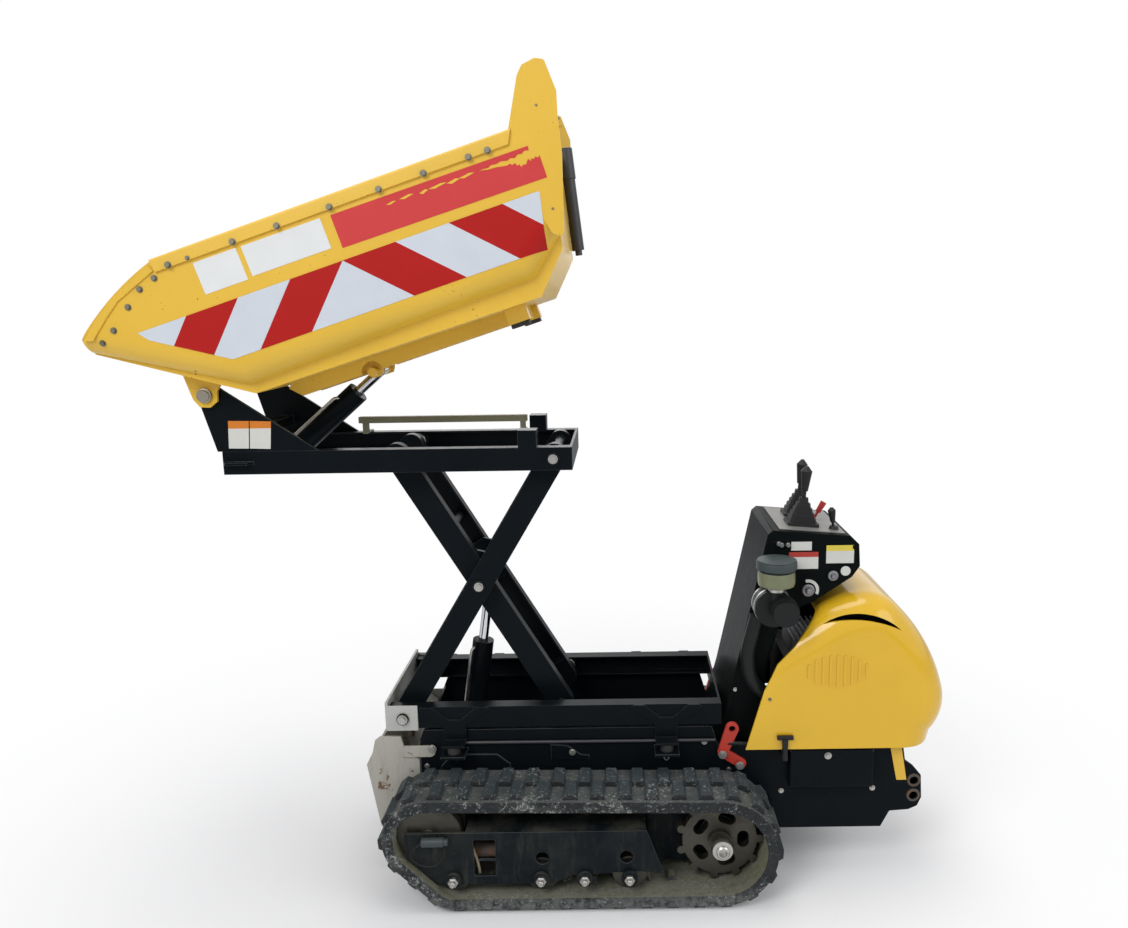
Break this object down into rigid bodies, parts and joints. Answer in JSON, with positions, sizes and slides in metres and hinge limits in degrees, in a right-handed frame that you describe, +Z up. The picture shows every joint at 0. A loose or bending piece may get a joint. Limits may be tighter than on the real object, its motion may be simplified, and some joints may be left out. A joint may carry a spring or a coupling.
{
  "type": "tracked site dumper",
  "caption": "Walk-behind tracked site dumper with scissor lift, front-tipping open skip, two rubber tracks, lever console and rear engine hood",
  "frame": {"origin": "on the ground under the middle of the machine as it is parked, with the lift up", "axes": "+X to the rear where the operator walks, +Y to the machine's right as the operator faces forward, +Z up"},
  "size_m": [2.3649, 0.79, 2.318],
  "materials": {
    "track_rubber": "matt, dried mud",
    "worn_iron": "rusty and polished by wear",
    "black_paint": "satin, scratched",
    "black_plastic": "satin",
    "mount_rubber": "matt",
    "red_paint": "satin",
    "grey_paint": "satin, rust stains",
    "cast_metal": "matt",
    "bare_steel": "worn",
    "olive_paint": "matt, faded",
    "chromed_rod": "polished",
    "yellow_paint": "gloss, chipped"
  },
  "bodies": {
    "chassis": {"track_left": "track_rubber", "track_right": "track_rubber", "sprocket_left": "worn_iron", "sprocket_right": "worn_iron", "drive_motor_left": "black_paint", "drive_motor_right": "black_paint", "idler_left": "worn_iron", "idler_right": "worn_iron", "rollers_left": "worn_iron", "rollers_right": "worn_iron", "track_frame_left": "black_paint", "track_frame_right": "black_paint", "chassis_frame": "black_paint", "chassis_floor": "black_paint", "engine_bed": "black_paint", "axle_beams": "black_paint", "engine_block": "cast_metal", "side_cover_left": "black_plastic", "side_cover_right": "black_plastic", "rubber_mounts_left": "mount_rubber", "rubber_mounts_right": "mount_rubber", "tie_down_left": "red_paint", "tie_down_right": "red_paint", "front_bumper": "grey_paint", "base_frame": "black_paint", "front_cross_angle": "grey_paint", "console_housing": "black_plastic", "drive_levers": "black_plastic", "throttle_lever": "red_paint", "air_precleaner": "black_plastic"},
    "outer_arms": {"outer_arms": "black_paint"},
    "inner_arms": {"inner_arms": "black_paint", "arm_rollers_left": "bare_steel", "arm_rollers_right": "bare_steel"},
    "top_frame": {"top_frame": "black_paint", "pivot_towers": "black_paint", "safety_prop": "olive_paint"},
    "lift_barrel": {"lift_barrel": "black_paint"},
    "lift_rod": {"lift_rod": "chromed_rod"},
    "tip_barrel": {"tip_barrel": "black_paint"},
    "tip_rod": {"tip_rod": "chromed_rod"},
    "skip": {"skip_shell": "yellow_paint", "skip_rims": "yellow_paint", "skip_subframe": "yellow_paint", "skip_buffers": "mount_rubber", "document_tube": "black_plastic"},
    "hood": {"engine_hood": "yellow_paint"}
  },
  "joints": [
    {"name": "lift", "type": "hinge", "parent": "chassis", "child": "outer_arms", "pos_m": [-0.43, 0, 0.512], "axis": [0, 1, 0], "range_deg": [0, 52]},
    {"name": "scissor_cross", "type": "hinge", "parent": "outer_arms", "child": "inner_arms", "pos_m": [-0.19695, 0, 0.89987], "axis": [0, 1, 0], "range_deg": [-104.5, 0.5]},
    {"name": "top_level", "type": "hinge", "parent": "outer_arms", "child": "top_frame", "pos_m": [0.03611, 0, 1.28774], "axis": [0, 1, 0], "range_deg": [-52.5, 0.5]},
    {"name": "lift_cylinder_swing", "type": "hinge", "parent": "chassis", "child": "lift_barrel", "pos_m": [-0.259, 0, 0.38], "axis": [0, 1, 0], "range_deg": [-0.5, 37.1]},
    {"name": "lift_cylinder_stroke", "type": "slide", "parent": "lift_barrel", "child": "lift_rod", "axis": [0.1466, 0, 0.9892], "range_m": [-0.2235, 0.001]},
    {"name": "skip_tip", "type": "hinge", "parent": "top_frame", "child": "skip", "pos_m": [-0.92289, 0, 1.48174], "axis": [0, -1, 0], "range_deg": [-18, 47]},
    {"name": "tip_cylinder_swing", "type": "hinge", "parent": "top_frame", "child": "tip_barrel", "pos_m": [-0.81089, 0, 1.24974], "axis": [0, -1, 0], "range_deg": [-14.4, 36.8]},
    {"name": "tip_cylinder_stroke", "type": "slide", "parent": "tip_barrel", "child": "tip_rod", "axis": [0.756, 0, 0.6546], "range_m": [-0.0715, 0.1855]},
    {"name": "hood", "type": "hinge", "parent": "chassis", "child": "hood", "pos_m": [1.085, 0, 0.396], "axis": [0, 1, 0], "range_deg": [0, 60]}
  ],
  "couplings": [
    {"joint": "scissor_cross", "follows": "lift", "ratio": -2},
    {"joint": "top_level", "follows": "lift", "ratio": -1},
    {"joint": "lift_cylinder_swing", "follows": "lift", "ratio": 0.704},
    {"joint": "lift_cylinder_stroke", "follows": "lift", "m_per_rad": -0.2452},
    {"joint": "tip_cylinder_swing", "follows": "skip_tip", "ratio": 0.772},
    {"joint": "tip_cylinder_stroke", "follows": "skip_tip", "m_per_rad": 0.2246}
  ]
}
